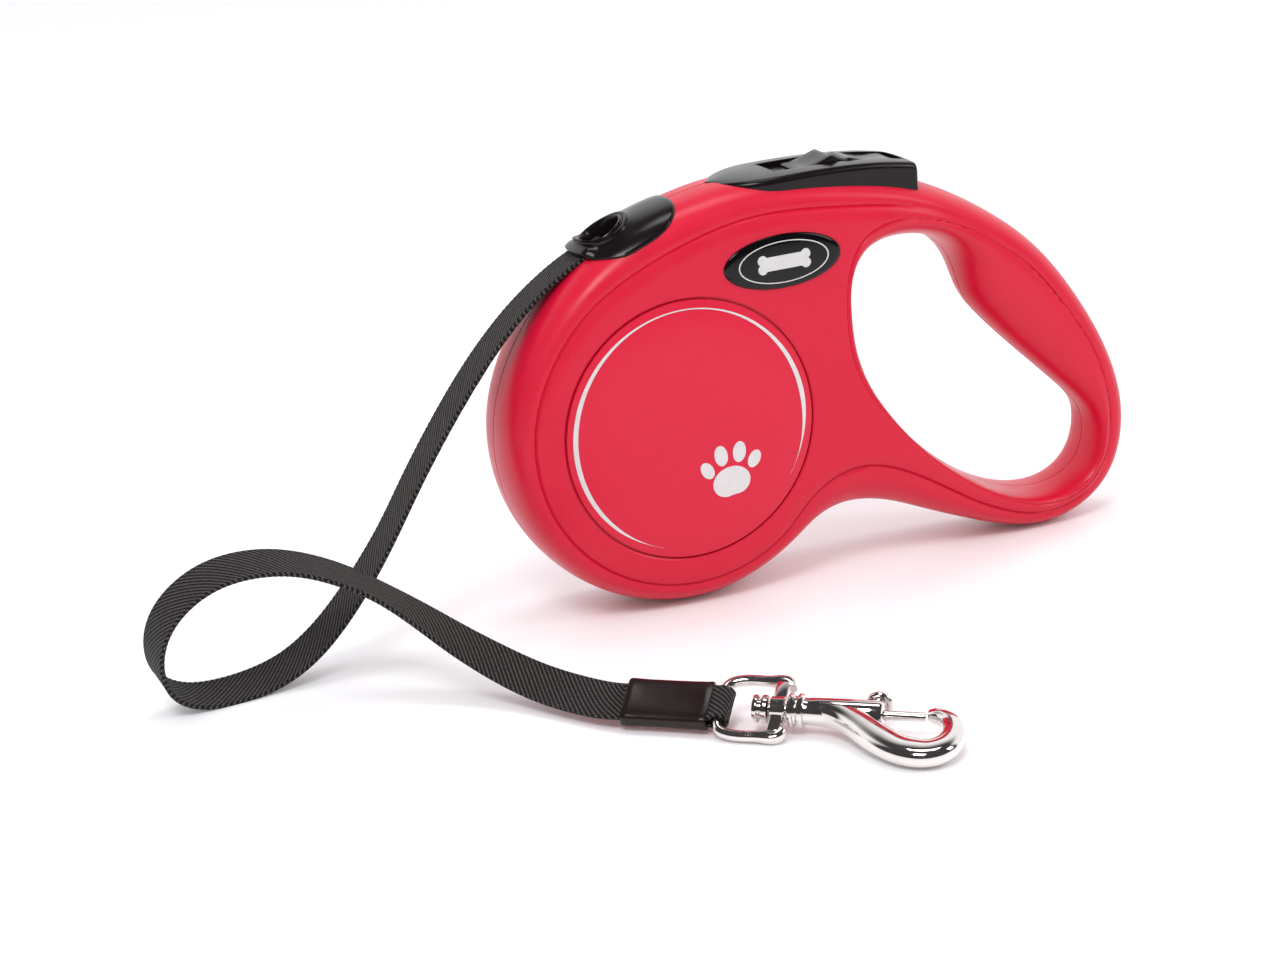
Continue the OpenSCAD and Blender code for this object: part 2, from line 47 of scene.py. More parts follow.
# ---------------------------------------------------------------- camera
scene = bpy.context.scene
camera = bpy.data.objects.new("camera", bpy.data.cameras.new("camera"))
scene.collection.objects.link(camera)
camera.data.sensor_width = 36
camera.data.lens = 73.64
camera.data.clip_start = 0.01
camera.data.clip_end = 20
RIGHT = Vector((0.92641825, -0.37033828, -0.06781433))
UP = Vector((0.17349726, 0.26007573, 0.94987331))
BACK = Vector((-0.33413759, -0.89174557, 0.30519158))
camera.matrix_world = Matrix.Translation(Vector((-260.10, -562.12, 223.71)) * MM) @ Matrix(
    (RIGHT, UP, BACK)).transposed().to_4x4()
scene.camera = camera


# ---------------------------------------------------------------- curves and meshes
def smoothstep(t):
    t = min(max(t, 0.0), 1.0)
    return t * t * (3 - 2 * t)


def basis(t):
    return ((1 - t) ** 3 / 6, (3 * t ** 3 - 6 * t * t + 4) / 6,
            (-3 * t ** 3 + 3 * t * t + 3 * t + 1) / 6, t ** 3 / 6)


def closed_curve(points, steps):
    p = np.array(points, float)
    q = p - (np.roll(p, 1, 0) - 2 * p + np.roll(p, -1, 0)) / 6
    n = len(p)
    out = []
    for i in range(n):
        for s in range(steps):
            b = basis(s / steps)
            out.append(sum(b[k] * q[(i - 1 + k) % n] for k in range(4)))
    return np.array(out)


def open_curve(points, steps):
    p = np.array(points, float)
    q = p.copy()
    q[1:-1] = p[1:-1] - (p[:-2] - 2 * p[1:-1] + p[2:]) / 6
    q = np.vstack([2 * p[0] - p[1], q, 2 * p[-1] - p[-2]])
    out = []
    for i in range(len(p) - 1):
        for s in range(steps):
            b = basis(s / steps)
            out.append(sum(b[k] * q[i + k] for k in range(4)))
    out.append(p[-1])
    return np.array(out)


def make(name, verts, faces, material, sharp, at=None):
    """A mesh object from points in mm, moved by a matrix or by the reel's place."""
    mesh = bpy.data.meshes.new(name)
    mesh.from_pydata([tuple(float(c) for c in v) for v in verts], [], faces)
    mesh.validate()
    o = bpy.data.objects.new(name, mesh)
    scene.collection.objects.link(o)
    if at is not None:
        mesh.transform(at if isinstance(at, Matrix) else Matrix.Translation(at))
    mesh.transform(Matrix.Scale(MM, 4))
    mesh.materials.append(material)
    fix_normals(mesh)
    mesh.shade_smooth()
    mesh.set_sharp_from_angle(angle=math.radians(sharp))
    return o


def fix_normals(mesh):
    """Joins points that fall together and turns every face outwards."""
    bm = bmesh.new()
    bm.from_mesh(mesh)
    bmesh.ops.remove_doubles(bm, verts=bm.verts, dist=1e-6)
    bmesh.ops.recalc_face_normals(bm, faces=bm.faces)
    bm.to_mesh(mesh)
    bm.free()


def ring_faces(n, m, first=0):
    """Quads between n closed rings of m points."""
    return [(first + i * m + j, first + i * m + (j + 1) % m, first + (i + 1) * m + (j + 1) % m,
             first + (i + 1) * m + j) for i in range(n - 1) for j in range(m)]


def grid_mesh(rings, caps=(False, False)):
    """Points and faces of a skin over closed rings of equal length."""
    m = len(rings[0])
    verts = [p for r in rings for p in r]
    faces = ring_faces(len(rings), m)
    if caps[0]:
        faces.append(tuple(range(m)))
    if caps[1]:
        faces.append(tuple(range((len(rings) - 1) * m, len(rings) * m)))
    return verts, faces


def frames(path, sides):
    """Tangent, width and thickness directions along a path."""
    path = np.array(path, float)
    out = []
    for i in range(len(path)):
        t = path[min(i + 1, len(path) - 1)] - path[max(i - 1, 0)]
        t /= np.linalg.norm(t)
        w = np.array(sides[i], float)
        w -= w.dot(t) * t
        w /= np.linalg.norm(w)
        out.append((t, w, np.cross(t, w)))
    return out


def sweep(path, sides, sections):
    """Rings of sections, given across the width and thickness, along a path."""
    rings = []
    for p, (_, w, v), section in zip(np.array(path, float), frames(path, sides), sections):
        rings.append([p + s[0] * w + s[1] * v for s in section])
    return grid_mesh(rings, (True, True))


def oval(a, b, n, power=2.0):
    """Points of an ellipse, which a higher power makes squarer."""
    out = []
    for j in range(n):
        c, s = math.cos(2 * math.pi * j / n), math.sin(2 * math.pi * j / n)
        out.append((a * math.copysign(abs(c) ** (2 / power), c), b * math.copysign(abs(s) ** (2 / power), s)))
    return out


def lathe(profile, n):
    """Turns a profile of (along, radius) about X through the origin."""
    rings = [[(a, r * math.cos(2 * math.pi * j / n), r * math.sin(2 * math.pi * j / n)) for j in range(n)]
             for a, r in profile]
    return grid_mesh(rings, (profile[0][1] > 1e-6, profile[-1][1] > 1e-6))


def merge(*parts):
    """Several (points, faces) pairs as one."""
    verts, faces = [], []
    for v, f in parts:
        n = len(verts)
        verts += list(v)
        faces += [tuple(i + n for i in q) for q in f]
    return verts, faces


# ---------------------------------------------------------------- materials
class Nodes:
    """A new material and short ways to add nodes to it."""

    def __init__(self, name):
        self.m = bpy.data.materials.new(name)
        self.m.use_nodes = True
        self.t = self.m.node_tree
        self.s = self.t.nodes["Principled BSDF"]
        self.coords = self.t.nodes.new("ShaderNodeTexCoord").outputs["Object"]

    def set(self, **values):
        for k, v in values.items():
            self.s.inputs[k.replace("_", " ")].default_value = v
        return self

    def new(self, kind, values=None, **props):
        n = self.t.nodes.new("ShaderNode" + kind)
        for k, v in props.items():
            setattr(n, k, v)
        for k, v in (values or {}).items():
            if hasattr(v, "is_output"):
                self.t.links.new(v, n.inputs[k])
            else:
                n.inputs[k].default_value = v
        return n

    def noise(self, scale, detail=3, rough=0.55, at=None):
        return self.new("TexNoise", {"Vector": at or self.coords, "Scale": scale, "Detail": detail,
                                     "Roughness": rough}).outputs["Fac"]

    def ramp(self, fac, stops):
        n = self.new("ValToRGB", {"Fac": fac})
        e = n.color_ramp.elements
        while len(e) < len(stops):
            e.new(0.5)
        for el, (at, c) in zip(e, stops):
            el.position = at
            el.color = (*c, 1) if len(c) == 3 else c
        return n.outputs["Color"]

    def range(self, fac, a, b, c, d):
        return self.new("MapRange", {"Value": fac, "From Min": a, "From Max": b, "To Min": c,
                                     "To Max": d}).outputs["Result"]

    def math(self, op, a, b=0.0):
        return self.new("Math", {0: a, 1: b}, operation=op).outputs[0]

    def bump(self, height, distance, strength=1.0, after=None):
        values = {"Height": height, "Distance": distance, "Strength": strength}
        if after is not None:
            values["Normal"] = after
        return self.new("Bump", values).outputs["Normal"]

    def link(self, out, name):
        self.t.links.new(out, self.s.inputs[name])
        return self


def plastic(name, color, rough, grain, depth, spec=0.5, vary=0.08):
    """Moulded plastic: faint blotches, a little uneven gloss, and a fine grain of some depth."""
    n = Nodes(name).set(Roughness=rough, Specular_IOR_Level=spec)
    blotch = n.noise(55, 4)
    dark = tuple(c * (1 - vary) for c in color)
    n.link(n.ramp(blotch, [(0.35, dark), (0.65, color)]), "Base Color")
    n.link(n.range(n.noise(130, 4), 0.3, 0.7, rough - 0.04, rough + 0.05), "Roughness")
    n.link(n.bump(n.noise(grain, 2, 0.5), depth, 0.6), "Normal")
    return n.m


red = plastic("casing_red", (0.60, 0.005, 0.032), 0.32, 2600, 0.000006, spec=0.34, vary=0.03)
label_red = plastic("label_red", (0.62, 0.009, 0.038), 0.31, 2600, 0.000006, spec=0.34, vary=0.0)
black = plastic("gloss_black", (0.007, 0.004, 0.005), 0.22, 2600, 0.000002, spec=0.32)
badge_black = plastic("badge_black", (0.003, 0.003, 0.0035), 0.07, 300, 0.000001, spec=0.3)
reel_black = plastic("reel_black", (0.03, 0.03, 0.032), 0.5, 1800, 0.00002)


def metal(name, color, rough, wear=0.06, scale=160):
    """Metal with slightly uneven colour, gloss and surface."""
    n = Nodes(name).set(Metallic=1.0)
    n.link(n.ramp(n.noise(scale, 5), [(0.3, tuple(c * 0.93 for c in color)), (0.7, color)]), "Base Color")
    n.link(n.range(n.noise(scale * 2.5, 4), 0.3, 0.7, rough, rough + wear), "Roughness")
    n.link(n.bump(n.noise(scale * 1.2, 3), 0.00002, 0.35), "Normal")
    return n.m


chrome = metal("nickel_plate", (0.86, 0.81, 0.79), 0.05)
steel = metal("steel", (0.60, 0.60, 0.61), 0.28)
silver_ink = metal("silver_ink", (0.82, 0.80, 0.80), 0.34, 0.1, 500)


# ---------------------------------------------------------------- casing
HALF_T = 14.0           # from the parting plane to the face
CREASE = 1.0            # rise of the face inside its engraved line
RIM_POWER = 2.3         # squareness of the rounded rim's section
ROUND_R = 45            # the round part
LABEL_R = 32.0          # recess for the label
LABEL_RECESS = 1.0
SCREWS = [(43.5, -17), (76, -34.2), (119, -25), (93, 21.5), (69, 43.6)]
SCREW_R = 2.5           # wells over the screws, on the rear face
SCREW_FLOOR = -5.02
# Outline: x, z and the width of the rounded rim
OUTLINE = [(ROUND_R * math.cos(math.radians(a)), ROUND_R * math.sin(math.radians(a)), 5.8)
           for a in range(145, 306, 20)]
OUTLINE += [
    (34.5, -31.2, 8.5), (44, -29, 11.5), (55, -30.7, 9.3), (66, -35.2, 7.5), (77, -39.5, 5.5),
    (88, -43.3, 4.6), (98.5, -45, 4.2), (109, -43, 4), (117.5, -37.6, 4.6), (122.6, -29.5, 5.4),
    (124.3, -19.5, 6), (122.8, -9, 6), (118.6, 1.8, 6), (112.8, 12, 6), (105.5, 22.3, 6),
    (97, 31.3, 6), (87, 38.8, 5.8), (76, 45.3, 5.5), (65, 49.9, 5.4), (54, 52.8, 6),
    (42, 54.9, 6.8), (29, 56.3, 7.2), (16, 56, 7.5), (4, 53.5, 7.6), (-7.5, 50, 8),
    (-17.5, 45, 7.6), (-27.5, 37.2, 6.4)]
# Hand hole: x and z of its narrowest line, in the parting plane, then of its edge on the face
HAND_HOLE = [
    (45.6, 21, 42.6, 20.9), (46.3, 13, 43.2, 12.5), (49.2, 3.3, 46, 3.4), (54.5, -6, 51.8, -5.4),
    (61.5, -14.5, 58.9, -14), (70, -22, 67.6, -22.2), (79.5, -28.7, 77.4, -29.4),
    (89, -33.6, 88, -35), (98.5, -35.6, 98, -38.2), (107, -34.2, 108, -37), (112.8, -29.3, 115.2, -31),
    (114.4, -21.5, 118, -22), (112.3, -15.2, 117.5, -12.5), (106.3, -8.9, 115, -3), (99.5, -2.4, 109.5, 7),
    (92.5, 4.3, 103, 15.7), (86, 11, 96.8, 22.8), (81.3, 16.8, 91, 28), (79, 22.5, 86, 31.6),
    (76.8, 28.8, 80.8, 34.9), (72, 33.9, 75, 38), (65.5, 36.3, 68, 40.8), (58.5, 36.8, 60, 42.3),
    (52, 35.5, 52.5, 41.6), (47.5, 32, 46.3, 37.7), (45.6, 27, 43.2, 30)]
outline = closed_curve(OUTLINE, 8)
hole = closed_curve(HAND_HOLE, 8)
hole_mid, hole_edge = hole[:, :2], hole[:, 2:]


def half_depth(x):
    """Half of the casing's thickness, which falls away towards the end of the hand loop."""
    t = np.clip((np.asarray(x, float) - 50) / 68, 0, 1)
    return HALF_T - 5 * t * t * (3 - 2 * t)


def normals_in(loop):
    """Unit vectors to the left of a closed loop."""
    d = np.roll(loop, -1, 0) - np.roll(loop, 1, 0)
    d /= np.linalg.norm(d, axis=1)[:, None]
    return np.stack([-d[:, 1], d[:, 0]], 1)


def nearest(points, loop, values=None):
    """Distance from each point to a closed loop, and a value carried along it."""
    a, b = loop, np.roll(loop, -1, 0)
    ab = b - a
    best = np.full(len(points), 1e9)
    value = np.zeros(len(points))
    for k in range(len(a)):
        t = np.clip(((points - a[k]) @ ab[k]) / (ab[k] @ ab[k]), 0, 1)
        d = np.hypot(points[:, 0] - a[k, 0] - t * ab[k, 0], points[:, 1] - a[k, 1] - t * ab[k, 1])
        near = d < best
        best[near] = d[near]
        if values is not None:
            v = values[k] + t * (values[(k + 1) % len(a)] - values[k])
            value[near] = v[near]
    return best, value


def inside(points, loop):
    """Which points lie inside a closed loop."""
    x, y = points[:, 0], points[:, 1]
    odd = np.zeros(len(points), bool)
    a, b = loop, np.roll(loop, -1, 0)
    for (x0, y0), (x1, y1) in zip(a, b):
        cross = (y0 > y) != (y1 > y)
        with np.errstate(divide="ignore", invalid="ignore"):
            at = x0 + (y - y0) * (x1 - x0) / (y1 - y0)
        odd ^= cross & (x < at)
    return odd


# The engraved line fades out where the hand hole's edge takes its place
crease_fade = np.array([
    0.0 if p[0] > 62 and p[1] > -43 and not (p[1] < -30 and p[0] < 112) else 1.0 for p in outline])
for _ in range(12):
    crease_fade = (np.roll(crease_fade, 1) + 2 * crease_fade + np.roll(crease_fade, -1)) / 4


def groove(d, at, width, depth):
    return depth * np.exp(-((d - at) / width) ** 2)


def face_depth(points):
    """How far the front surface stands from the parting plane."""
    h = half_depth(points[:, 0])
    d, rim = nearest(points, outline[:, :2], outline[:, 2])
    _, fade = nearest(points, outline[:, :2], crease_fade)
    s = np.clip(d / rim, 0, 1)
    along = np.sqrt(np.clip(1 - (1 - s) ** RIM_POWER, 0, 1)) ** (2 / RIM_POWER)
    e = np.clip((d - rim) / 4.0, 0, 1)
    depth = np.where(d < rim, along * (h - CREASE), h - CREASE + CREASE * (1 - (1 - e) ** 2))
    depth -= groove(d - rim, 0.3, 0.28, 0.5) * fade
    to_edge, _ = nearest(points, hole_edge)
    to_mid, _ = nearest(points, hole_mid)
    within = inside(points, hole_edge)
    share = np.where(within, to_edge / (to_edge + to_mid + 1e-9), 0)
    slope = h * (1 - share ** (2 / 0.9)) ** 0.45
    slope = np.where(within, slope - groove(to_edge, 0, 0.35, 0.45), 1e9)
    depth = np.minimum(depth, slope)
    return np.where(within, depth, depth - groove(to_edge, 0, 0.35, 0.45))


def screw_circle(x, z):
    return np.array([(x + SCREW_R * math.cos(math.pi * j / 16), z + SCREW_R * math.sin(math.pi * j / 16))
                     for j in range(32)])


def casing_half():
    """The front half's surface, from the parting line to the face."""
    n_out = normals_in(outline[:, :2])
    n_hole = normals_in(hole_edge)
    verts, faces = [], []

    def strip(rings):
        first = len(verts)
        for r in rings:
            verts.extend(r)
        faces.extend(ring_faces(len(rings), len(rings[0]), first))

    def lifted(flat):
        depth = face_depth(flat)
        return [(x, -y, z) for (x, z), y in zip(flat, depth)]

    def parting_line(loop, inward):
        """The fine groove where the two halves meet."""
        return [[(p[0] + q[0] * step, y, p[1] + q[1] * step) for p, q in zip(loop, inward)]
                for step, y in ((0.3, 0), (0.02, -0.22))]

    def rim_ring(deg):
        """A loop round the outer rim, by its angle up the rounded section."""
        share = 1 - math.sin(math.radians(deg)) ** (2 / RIM_POWER)
        return outline[:, :2] + n_out * (outline[:, 2:] * share)

    def hole_ring(share):
        """A loop round the hand hole's slope: 0 at its edge, 1 at its narrowest line."""
        return hole_edge + (hole_mid - hole_edge) * share

    # The steep parts are strips of quads, which follow the rim and the hole
    steep = [rim_ring(deg) for deg in (84, 76, 68, 60, 52, 44, 36, 30)]
    strip(parting_line(outline, n_out) + [lifted(r) for r in steep])
    inner = [hole_ring(math.sin(math.radians(deg)) ** 0.9) for deg in (86, 78, 70, 62, 54, 46, 38)]
    out = hole_edge - hole_mid
    out = out / np.linalg.norm(out, axis=1)[:, None]
    strip(parting_line(hole_mid, out) + [lifted(r) for r in inner])

    # The rest is one triangle mesh, dense along the engraved lines
    points, edges = [], []

    def chain(loop, keep=None):
        """Adds a loop's points, and the edges between neighbours that are both kept."""
        index = {}
        for i, p in enumerate(loop):
            if keep is None or keep[i]:
                index[i] = len(points)
                points.append(p)
        m = len(loop)
        edges.extend((index[i], index[(i + 1) % m]) for i in range(m) if i in index and (i + 1) % m in index)

    chain(steep[-1])
    chain(inner[-1])
    for deg in (24, 18, 12, 6, 0):
        ring = rim_ring(deg)
        chain(ring, ~inside(ring, hole_edge))
    for extra in (0.12, 0.3, 0.48, 0.75, 1.3, 2.2, 3.2, 4):
        ring = outline[:, :2] + n_out * (outline[:, 2:] + extra)
        clear, _ = nearest(ring, hole_edge)
        own, rim = nearest(ring, outline[:, :2], outline[:, 2])
        keep = ~inside(ring, hole_edge) & (clear > 0.9) & (own > rim + extra - 0.1)
        chain(ring, keep)
    for extra in (0.25, 0.5, 0.85):
        ring = hole_edge - n_hole * extra
        chain(ring, nearest(ring, outline[:, :2])[0] > 3.2)
    for share in (0.0, 0.02, 0.05, 0.1, 0.2, 0.3, 0.4, 0.5, 0.58):
        chain(hole_ring(share))
    label_rings = [np.array([(r * math.cos(2 * math.pi * j / 144), r * math.sin(2 * math.pi * j / 144))
                             for j in range(144)])
                   for r in (33.2, LABEL_R + 0.4, LABEL_R + 0.04, LABEL_R - 0.04)]
    for ring in label_rings + [screw_circle(*at) for at in SCREWS]:
        chain(ring)
    placed = np.array(points)
    grid = np.array([(x, z) for x in np.arange(-42, 122, 3.5) for z in np.arange(-42, 56, 3.5)])
    for g in grid:
        if np.min(np.hypot(placed[:, 0] - g[0], placed[:, 1] - g[1])) > 1.6:
            points.append(g)
    got = delaunay_2d_cdt([Vector((float(p[0]), float(p[1]))) for p in points], edges, [], 0, 1e-4)
    flat = np.array([(v.x, v.y) for v in got[0]])
    tris = np.array(got[2])
    mid = flat[tris].mean(1)
    tris = tris[inside(mid, steep[-1]) & ~inside(mid, inner[-1])]
    depth = face_depth(flat)
    r = np.hypot(flat[:, 0], flat[:, 1])
    depth = np.where(r < LABEL_R, HALF_T - LABEL_RECESS, depth)
    depth = np.where(abs(r - LABEL_R - 0.04) < 0.01, depth - 0.25, depth)
    first = len(verts)
    verts.extend((p[0], -y, p[1]) for p, y in zip(flat, depth))
    faces.extend(tuple(int(i) + first for i in t) for t in tris)
    return verts, faces


half_verts, half_faces = casing_half()


def cut(verts, faces, test):
    """Leaves out the faces whose middle passes the test."""
    v = np.array(verts)
    return [f for f in faces if not test(*v[list(f)].mean(0))]


def covered(x, y, z):
    """Under the bezel's window or in the guide's mouth, where the casing is open."""
    in_window = 27 < x < 63.5 and abs(y) < 7.5 and z > 45
    in_mouth = -19 < x < -8.5 and abs(y) < 5.0 and z > 38
    return in_window or in_mouth


def screw_wells():
    """Walls and floors of the wells over the screws."""
    parts = []
    for at in SCREWS:
        flat = screw_circle(*at)
        rings = [[(x, -y, z) for (x, z), y in zip(flat, face_depth(flat))],
                 [(x, SCREW_FLOOR, z) for x, z in flat]]
        parts.append(grid_mesh(rings, (False, True)))
    return parts


half_faces = cut(half_verts, half_faces, covered)
front = make("casing_front", half_verts, half_faces, red, 28, REEL)
rear_faces = cut(half_verts, half_faces, lambda x, y, z: any(
    y < -5 and math.hypot(x - a, z - b) < SCREW_R for a, b in SCREWS))
rear_verts, rear_faces = merge((half_verts, rear_faces), *screw_wells())
rear = make("casing_rear", [(x, -y, z) for x, y, z in rear_verts], rear_faces, red, 28, REEL)
for piece, node in ((front, "front_shell"), (rear, "rear_shell")):
    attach(piece, "housing")
    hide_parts(node)


# ---------------------------------------------------------------- webbing, sleeve and clasp
RIB_ALONG, RIB_ACROSS = 4.6, 5.6        # turns the distances along and across into the twill's phase


def webbing_material():
    """Diagonal twill, from the distance along and across the tape that each point carries; its colour is
    painted shade in the grooves between the ribs and a painted highlight on their tops, with random fuzz.
    """
    n = Nodes("webbing").set(Roughness=0.75, Sheen_Weight=0.06, Sheen_Roughness=0.5, Specular_IOR_Level=0.2)
    along = n.new("Attribute", attribute_name="along").outputs["Fac"]
    across = n.new("Attribute", attribute_name="across").outputs["Fac"]

    def wave(op, a, a_rate, b, b_rate):
        return n.math("SINE", n.math(op, n.math("MULTIPLY", a, a_rate), n.math("MULTIPLY", b, b_rate)))

    twill = wave("ADD", along, RIB_ALONG, across, RIB_ACROSS)
    threads = wave("SUBTRACT", across, 13.0, along, 3.0)
    height = n.math("ADD", twill, n.math("MULTIPLY", threads, 0.35))
    fuzz = n.noise(2200, 3)
    # Painted shade and highlight: the colour follows the ribs' height, darker between the ribs and lighter on
    # their tops, plus random fuzz
    painted_rib_shade_and_fuzz = n.math("ADD", n.range(height, -1.3, 1.3, 0.0, 1.0), n.range(fuzz, 0.2, 0.8, -0.25, 0.25))
    n.link(n.ramp(painted_rib_shade_and_fuzz, [(0.15, (0.003, 0.0025, 0.0025)), (0.55, (0.018, 0.014, 0.0135)),
                          (0.95, (0.085, 0.075, 0.071))]), "Base Color")
    bump = n.bump(height, 0.00012, 0.8)
    n.link(n.bump(fuzz, 0.00004, 0.5, bump), "Normal")
    return n.m


webbing = webbing_material()
sleeve_skin = plastic("sleeve_brown", (0.014, 0.006, 0.006), 0.25, 700, 0.00002, spec=0.32)


def carry(o, along, across):
    """Gives each point its place along and across the webbing, in mm."""
    for name, values in (("along", along), ("across", across)):
        a = o.data.attributes.new(name, "FLOAT", "POINT")
        a.data.foreach_set("value", np.array(values, np.float32))


# The free tape's middle line, and which way its width lies at each of these points
ROUTE = [
    (-53, 0, 90), (-60, 0, 88), (-70, 0, 82), (-80, -0.5, 73.8), (-90, -1, 62.8), (-99, -2, 51.4),
    (-106.5, -3, 41), (-113, -4, 31.3), (-119.5, -5, 22.9), (-126, -6, 15.6), (-133.5, -7, 8.8),
    (-141.5, -8, 4.2), (-149.5, -9, 2.2), (-157, -10, 1.8), (-163.8, -11, 2.7), (-169.2, -12.2, 5.8),
    (-172, -13.4, 10.8), (-172.4, -14.5, 17), (-170, -15.4, 23.6), (-164.5, -16.2, 29.2),
    (-157, -17, 32.8), (-148, -18, 33.7), (-139, -19.2, 32.2), (-130, -21.3, 28.5), (-122, -24.5, 23.7),
    (-115, -29, 18.6), (-108.5, -34.8, 13.4), (-102, -41.8, 9), (-95.2, -51, 5.7), (-89.3, -60.5, 4.8),
    (-85, -67.1, 4.8), (-81.7, -70.4, 5)]
LEAN = [(0, 1, 0)] * 3 + [(-0.03, 1, 0.03)] + [(-0.07, 1, 0.06)] * 4 + [
    (-0.1, 0.98, 0.12), (-0.1, 0.96, 0.19), (-0.1, 0.95, 0.25), (-0.12, 0.95, 0.27)] + [
    (-0.16, 0.93, 0.3)] * 11 + [
    (0, 0.93, 0.27), (0.1, 0.93, 0.22), (0.26, 0.87, 0.25), (0.4, 0.8, 0.32), (0.5, 0.75, 0.4),
    (0.55, 0.72, 0.45), (0.56, 0.7, 0.454), (0.552, 0.7, 0.454), (0.552, 0.7, 0.454)]
TAPE_W, TAPE_T = 10.0, 1.1
RIB_H = 0.05            # height of the twill's ribs in the mesh


def ribbon_section(half_w, t, n=25):
    """Webbing cut across: flat, a little thicker at its two selvedges."""
    spread = [-1 + 2 * i / (n - 1) for i in range(n)]
    us = [half_w * math.sin(math.pi / 2 * k) * 0.35 + half_w * 0.65 * k for k in spread]
    out = []
    for side in (1, -1):
        row = us if side > 0 else us[::-1]
        for u in row:
            edge = abs(u) / half_w
            thick = t / 2 * (0.9 + 0.16 * math.exp(-((edge - 0.93) / 0.05) ** 2))
            if edge > 0.96:
                thick *= math.sqrt(max(0.0, 1 - ((edge - 0.96) / 0.042) ** 2)) * 0.85 + 0.15
            out.append((u, side * thick))
    return out


def ribbon(name, path, sides, half_ws, t, start=0.0):
    """A length of webbing along a path, with its diagonal ribs in the mesh."""
    path = np.array(path, float)
    run = start + np.concatenate([[0], np.cumsum(np.linalg.norm(np.diff(path, axis=0), axis=1))])
    sections, along, across = [], [], []
    for s, half_w in zip(run, half_ws):
        row = []
        for u, v in ribbon_section(half_w, t):
            rib = RIB_H * math.sin(RIB_ALONG * s + RIB_ACROSS * u) if abs(u) < half_w * 0.95 else 0
            row.append((u, v + math.copysign(rib, v) if v > 0 else v - rib))
            along.append(s)
            across.append(u)
        sections.append(row)
    o = make(name, *sweep(path, sides, sections), webbing, 60)
    carry(o, along, across)
    return o


route = open_curve(ROUTE, 8)
route_length = float(np.sum(np.linalg.norm(np.diff(route, axis=0), axis=1)))
tape_path = open_curve(ROUTE, 24)
tape = ribbon("leash_webbing", tape_path, open_curve(LEAN, 24), [TAPE_W / 2] * len(tape_path), TAPE_T)

# The sleeve and clasp are drawn along X from the tape's end, and the hook is turned in its frame
CLASP = (Matrix.Translation(Vector(ROUTE[-1])) @ Matrix.Rotation(math.radians(-38.3), 4, "Z")
         @ Matrix.Rotation(math.radians(27), 4, "X"))
HOOK = CLASP @ Matrix.Rotation(math.radians(-18), 4, "X")
SLEEVE_END = 18.6       # where the tape comes out of the sleeve, round the frame's bar
BAR_X = 21.4
LOOP_R = 1.88


def sleeve_mesh():
    """Shrunk tube: pulled in a little at both ends, with the tape's edges showing through."""
    rings = []
    stations = [(0.0, 5.2, 1.3), (0.0, 5.75, 1.95), (0.5, 5.95, 2.1), (1.6, 5.9, 2.02), (4, 5.82, 1.9),
                (9.5, 5.8, 1.86), (15, 5.84, 1.92), (17.5, 5.92, 2.05), (18.6, 5.97, 2.12),
                (19.1, 5.78, 1.98), (19.1, 5.2, 1.3)]
    for x, a, b in stations:
        ring = []
        for y, z in oval(a, b, 64, 4.5):
            ring.append((x, y, z + 0.05 * math.sin(x * 1.1 + y * 0.8)))
        rings.append(ring)
    return grid_mesh(rings, (True, True))


sleeve = make("tape_sleeve_skin", *sleeve_mesh(), sleeve_skin, 50, CLASP)
u_path, u_width = [], []
for i in range(9):
    u_path.append((SLEEVE_END + (BAR_X - SLEEVE_END) * i / 9, 0, 1.0 + 0.87 * smoothstep(i / 8)))
    u_width.append(4.95 - 0.7 * smoothstep(i / 8))
for i in range(25):
    a = math.pi / 2 - math.pi * i / 24
    u_path.append((BAR_X + LOOP_R * math.cos(a), 0, LOOP_R * math.sin(a)))
    u_width.append(4.25)
for i in range(9):
    u_path.append((BAR_X - (BAR_X - SLEEVE_END) * (i + 1) / 9, 0, -1.0 - 0.87 * smoothstep(1 - i / 8)))
    u_width.append(4.25 + 0.7 * smoothstep(i / 8))
dense = open_curve(u_path, 2)
widths = np.interp(np.linspace(0, 1, len(dense)), np.linspace(0, 1, len(u_width)), u_width)
loop = ribbon("tape_end_loop", dense, [(0, 1, 0)] * len(dense), widths, 1.0, route_length)
loop.data.transform(Matrix.Scale(1 / MM, 4))
loop.data.transform(CLASP)
loop.data.transform(Matrix.Scale(MM, 4))

# Swivel frame: a bent bar with cast shoulders, and a boss that the hook turns in
FRAME_POINTS = [(35.55, 5.9), (35.2, 7.0), (34.0, 7.6), (31.4, 7.6), (28.8, 7.7), (26.2, 7.7), (23.9, 7.3),
                (22.2, 6.4), (21.4, 4.9), (21.4, 3.4), (21.4, 1.7), (21.4, 0)]
half = open_curve(FRAME_POINTS, 4)
frame_path = [(p[0], p[1], 0) for p in half] + [(p[0], -p[1], 0) for p in half[-2::-1]]
sections = []
for x, y, _ in frame_path:
    shoulder = smoothstep((x - 30) / 3.5)
    sections.append(oval(1.22 + 0.12 * shoulder, 1.22 + 0.2 * shoulder, 20, 2.2 + 1.2 * shoulder))
frame_bar = sweep(frame_path, [(0, 0, 1)] * len(frame_path), sections)


def slab_bar(x0, x1, half_y, half_z):
    """A cross bar along Y with rounded long edges."""
    rings = []
    for y, k in ((-half_y, 0.5), (-half_y + 0.2, 0.8), (-half_y + 0.7, 1), (half_y - 0.7, 1),
                 (half_y - 0.2, 0.8), (half_y, 0.5)):
        rings.append([((x0 + x1) / 2 + a * k, y, b * k) for a, b in oval((x1 - x0) / 2, half_z, 28, 5)])
    return grid_mesh(rings, (True, True))


boss = lathe([(32.35, 1.4), (32.35, 2.5), (32.65, 2.85), (35.55, 2.9), (35.85, 2.6), (35.85, 1.4)], 40)
swivel = make("swivel_frame_cast", *merge(frame_bar, slab_bar(32.5, 35.75, 7.3, 1.4), boss), chrome, 32, CLASP)

